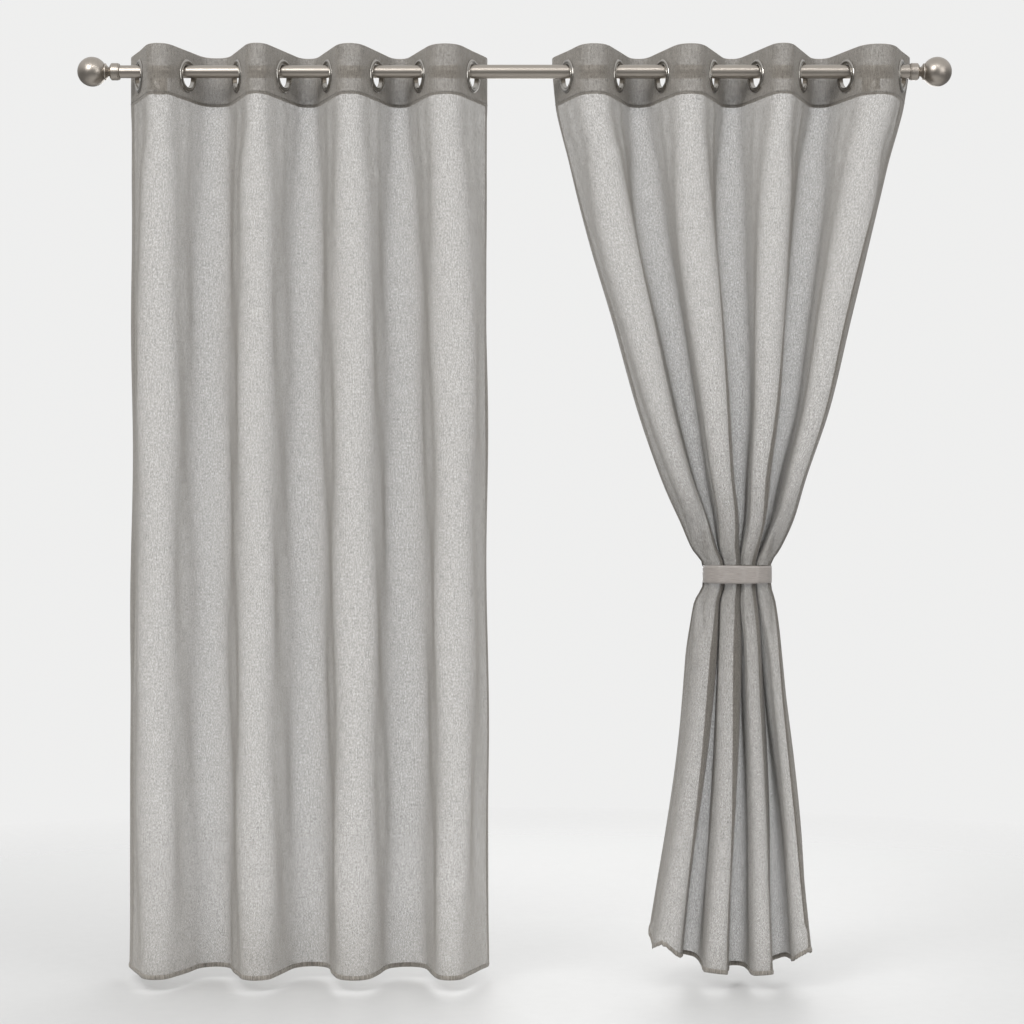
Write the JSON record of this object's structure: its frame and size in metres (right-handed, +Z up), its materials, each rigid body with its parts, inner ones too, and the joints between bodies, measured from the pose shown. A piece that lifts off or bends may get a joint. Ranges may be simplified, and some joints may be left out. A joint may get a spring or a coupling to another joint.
{
  "type": "window curtains on a rod",
  "caption": "Grommet-top curtain panels on a telescoping rod with ball finials and wall brackets; one panel hangs straight, the other is drawn in by a tieback.",
  "frame": {"origin": "on the wall plane, midway between the two brackets' screw holes, at the height of the rod's axis", "axes": "+X along the rod to the viewer's right, +Y into the wall, +Z up"},
  "size_m": [1.517, 0.1602, 1.6],
  "materials": {
    "rod_nickel": "brushed nickel with turned lines along the tube, satin",
    "finial_nickel": "spun and brushed nickel, soft sheen",
    "bracket_nickel": "nickel-coloured lacquer, satin",
    "grommet_metal": "polished nickel plate on a pressed ring",
    "plug_plastic": "moulded black plastic",
    "panel_cloth": "open heather-grey plain weave with slubs, lets light through",
    "header_cloth": "the same cloth doubled over, stiffened, with stitch lines",
    "hem_cloth": "rolled and overlocked cloth edge",
    "strap_satin": "pinkish-grey satin band with a sideways sheen",
    "fastener_grip": "woven hook-and-loop tape"
  },
  "bodies": {
    "brackets": {"left_bracket_wall_plate": "bracket_nickel", "left_bracket_arm": "bracket_nickel", "left_bracket_cradle": "bracket_nickel", "right_bracket_wall_plate": "bracket_nickel", "right_bracket_arm": "bracket_nickel", "right_bracket_cradle": "bracket_nickel"},
    "left_thumbscrew": {"left_bracket_thumbscrew": "bracket_nickel"},
    "right_thumbscrew": {"right_bracket_thumbscrew": "bracket_nickel"},
    "rod": {"rod_outer_tube": "rod_nickel", "right_finial_collar": "finial_nickel", "left_panel_cloth": "panel_cloth", "left_panel_header_band": "header_cloth", "left_panel_bottom_hem": "hem_cloth", "left_panel_side_hems": "hem_cloth", "right_panel_cloth": "panel_cloth", "right_panel_header_band": "header_cloth", "right_panel_bottom_hem": "hem_cloth", "right_panel_side_hems": "hem_cloth", "left_grommet_1_front_ring": "grommet_metal", "left_grommet_1_back_ring": "grommet_metal", "right_grommet_8_front_ring": "grommet_metal", "right_grommet_8_back_ring": "grommet_metal"},
    "rod_inner": {"rod_inner_tube": "rod_nickel", "rod_inner_end_plug": "plug_plastic", "left_finial_collar": "finial_nickel"},
    "left_finial": {"left_finial_neck": "finial_nickel", "left_finial_ball": "finial_nickel"},
    "right_finial": {"right_finial_neck": "finial_nickel", "right_finial_ball": "finial_nickel"},
    "left_grommet_2": {"left_grommet_2_front_ring": "grommet_metal", "left_grommet_2_back_ring": "grommet_metal"},
    "left_grommet_3": {"left_grommet_3_front_ring": "grommet_metal", "left_grommet_3_back_ring": "grommet_metal"},
    "left_grommet_4": {"left_grommet_4_front_ring": "grommet_metal", "left_grommet_4_back_ring": "grommet_metal"},
    "left_grommet_5": {"left_grommet_5_front_ring": "grommet_metal", "left_grommet_5_back_ring": "grommet_metal"},
    "left_grommet_6": {"left_grommet_6_front_ring": "grommet_metal", "left_grommet_6_back_ring": "grommet_metal"},
    "left_grommet_7": {"left_grommet_7_front_ring": "grommet_metal", "left_grommet_7_back_ring": "grommet_metal"},
    "left_grommet_8": {"left_grommet_8_front_ring": "grommet_metal", "left_grommet_8_back_ring": "grommet_metal"},
    "right_grommet_1": {"right_grommet_1_front_ring": "grommet_metal", "right_grommet_1_back_ring": "grommet_metal"},
    "right_grommet_2": {"right_grommet_2_front_ring": "grommet_metal", "right_grommet_2_back_ring": "grommet_metal"},
    "right_grommet_3": {"right_grommet_3_front_ring": "grommet_metal", "right_grommet_3_back_ring": "grommet_metal"},
    "right_grommet_4": {"right_grommet_4_front_ring": "grommet_metal", "right_grommet_4_back_ring": "grommet_metal"},
    "right_grommet_5": {"right_grommet_5_front_ring": "grommet_metal", "right_grommet_5_back_ring": "grommet_metal"},
    "right_grommet_6": {"right_grommet_6_front_ring": "grommet_metal", "right_grommet_6_back_ring": "grommet_metal"},
    "right_grommet_7": {"right_grommet_7_front_ring": "grommet_metal", "right_grommet_7_back_ring": "grommet_metal"},
    "tieback": {"tieback_strap": "strap_satin", "tieback_fastener_pad": "fastener_grip"},
    "tieback_tab": {"tieback_fastener_tab": "strap_satin"}
  },
  "joints": [
    {"name": "rod_lift", "type": "slide", "parent": "brackets", "child": "rod", "axis": [0, 0, 1], "range_m": [0, 0.045]},
    {"name": "rod_extend", "type": "slide", "parent": "rod", "child": "rod_inner", "axis": [-1, 0, 0], "range_m": [0, 0.6]},
    {"name": "left_finial_turn", "type": "hinge", "parent": "rod_inner", "child": "left_finial", "pos_m": [-0.733, -0.09, 0], "axis": [1, 0, 0], "continuous": true},
    {"name": "right_finial_turn", "type": "hinge", "parent": "rod", "child": "right_finial", "pos_m": [0.733, -0.09, 0], "axis": [1, 0, 0], "continuous": true},
    {"name": "left_thumbscrew_turn", "type": "hinge", "parent": "brackets", "child": "left_thumbscrew", "pos_m": [-0.629, -0.09, -0.03], "axis": [0, 0, 1], "continuous": true},
    {"name": "right_thumbscrew_turn", "type": "hinge", "parent": "brackets", "child": "right_thumbscrew", "pos_m": [0.629, -0.09, -0.03], "axis": [0, 0, 1], "continuous": true},
    {"name": "left_curtain_slide", "type": "slide", "parent": "rod", "child": "left_grommet_8", "axis": [-1, 0, 0], "range_m": [0, 0.2592], "deforming": ["left_panel_cloth", "left_panel_header_band", "left_panel_bottom_hem", "left_panel_side_hems"]},
    {"name": "left_grommet_2_slide", "type": "slide", "parent": "rod", "child": "left_grommet_2", "axis": [-1, 0, 0], "range_m": [0, 0.0387]},
    {"name": "left_grommet_3_slide", "type": "slide", "parent": "rod", "child": "left_grommet_3", "axis": [-1, 0, 0], "range_m": [0, 0.0785]},
    {"name": "left_grommet_4_slide", "type": "slide", "parent": "rod", "child": "left_grommet_4", "axis": [-1, 0, 0], "range_m": [0, 0.1136]},
    {"name": "left_grommet_5_slide", "type": "slide", "parent": "rod", "child": "left_grommet_5", "axis": [-1, 0, 0], "range_m": [0, 0.1487]},
    {"name": "left_grommet_6_slide", "type": "slide", "parent": "rod", "child": "left_grommet_6", "axis": [-1, 0, 0], "range_m": [0, 0.1863]},
    {"name": "left_grommet_7_slide", "type": "slide", "parent": "rod", "child": "left_grommet_7", "axis": [-1, 0, 0], "range_m": [0, 0.2207]},
    {"name": "right_curtain_slide", "type": "slide", "parent": "rod", "child": "right_grommet_1", "axis": [1, 0, 0], "range_m": [0, 0.185], "deforming": ["right_panel_cloth", "right_panel_header_band", "right_panel_bottom_hem", "right_panel_side_hems", "tieback_strap"]},
    {"name": "right_grommet_2_slide", "type": "slide", "parent": "rod", "child": "right_grommet_2", "axis": [1, 0, 0], "range_m": [0, 0.1592]},
    {"name": "right_grommet_3_slide", "type": "slide", "parent": "rod", "child": "right_grommet_3", "axis": [1, 0, 0], "range_m": [0, 0.1342]},
    {"name": "right_grommet_4_slide", "type": "slide", "parent": "rod", "child": "right_grommet_4", "axis": [1, 0, 0], "range_m": [0, 0.1063]},
    {"name": "right_grommet_5_slide", "type": "slide", "parent": "rod", "child": "right_grommet_5", "axis": [1, 0, 0], "range_m": [0, 0.082]},
    {"name": "right_grommet_6_slide", "type": "slide", "parent": "rod", "child": "right_grommet_6", "axis": [1, 0, 0], "range_m": [0, 0.0571]},
    {"name": "right_grommet_7_slide", "type": "slide", "parent": "rod", "child": "right_grommet_7", "axis": [1, 0, 0], "range_m": [0, 0.0321]},
    {"name": "tieback_slide", "type": "slide", "parent": "rod", "child": "tieback", "axis": [1, 0, 0], "range_m": [0, 0.0931]},
    {"name": "tieback_tab_peel", "type": "hinge", "parent": "tieback", "child": "tieback_tab", "pos_m": [0.404, -0.0497, -0.872], "axis": [0, 0, 1], "range_deg": [-120, 0]}
  ],
  "couplings": [
    {"joint": "left_grommet_2_slide", "follows": "left_curtain_slide", "ratio": 0.14149},
    {"joint": "left_grommet_3_slide", "follows": "left_curtain_slide", "ratio": 0.29514},
    {"joint": "left_grommet_4_slide", "follows": "left_curtain_slide", "ratio": 0.43056},
    {"joint": "left_grommet_5_slide", "follows": "left_curtain_slide", "ratio": 0.56597},
    {"joint": "left_grommet_6_slide", "follows": "left_curtain_slide", "ratio": 0.71094},
    {"joint": "left_grommet_7_slide", "follows": "left_curtain_slide", "ratio": 0.84375},
    {"joint": "right_grommet_2_slide", "follows": "right_curtain_slide", "ratio": 0.84948},
    {"joint": "right_grommet_3_slide", "follows": "right_curtain_slide", "ratio": 0.71453},
    {"joint": "right_grommet_4_slide", "follows": "right_curtain_slide", "ratio": 0.56401},
    {"joint": "right_grommet_5_slide", "follows": "right_curtain_slide", "ratio": 0.43253},
    {"joint": "right_grommet_6_slide", "follows": "right_curtain_slide", "ratio": 0.29758},
    {"joint": "right_grommet_7_slide", "follows": "right_curtain_slide", "ratio": 0.16263},
    {"joint": "tieback_slide", "follows": "right_curtain_slide", "ratio": 0.49221}
  ]
}
